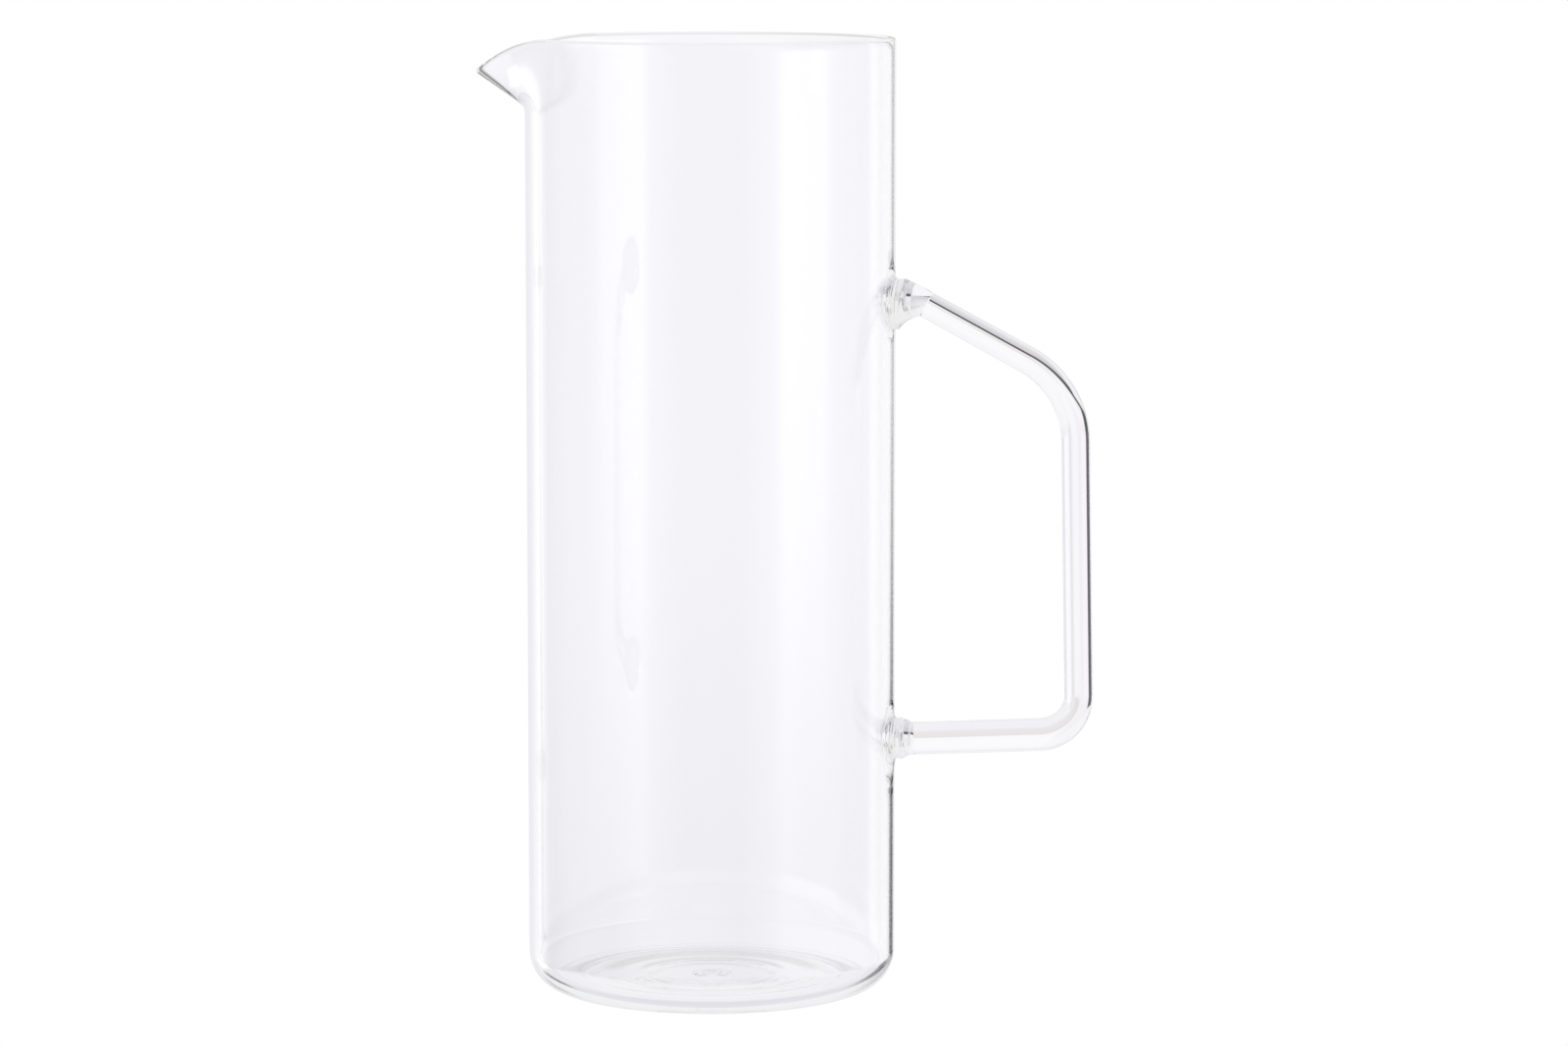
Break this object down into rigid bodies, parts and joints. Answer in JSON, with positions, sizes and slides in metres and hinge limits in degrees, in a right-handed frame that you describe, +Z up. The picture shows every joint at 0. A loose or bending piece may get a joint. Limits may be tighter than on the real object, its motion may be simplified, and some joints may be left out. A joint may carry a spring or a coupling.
{
  "type": "glass pitcher",
  "caption": "Tall straight clear glass pitcher with a flat base, a drawn pouring spout and a bent solid rod handle welded on opposite the spout.",
  "frame": {"origin": "centre of the base's underside, on the tube's axis, at the level of the surface it stands on", "axes": "+Z up along the tube's axis, +X towards the handle, so the spout points along -X"},
  "size_m": [0.1605, 0.095, 0.246],
  "materials": {
    "clear_glass": "clear polished borosilicate glass",
    "thick_glass": "clear flame-worked borosilicate glass with a faint olive tint where it is thick"
  },
  "bodies": {
    "root": {"vessel_wall": "clear_glass", "base": "clear_glass", "base_pip": "thick_glass", "rim_bead": "clear_glass", "pouring_spout": "thick_glass", "handle_rod": "clear_glass", "upper_handle_weld": "thick_glass", "lower_handle_weld": "thick_glass"}
  },
  "joints": []
}
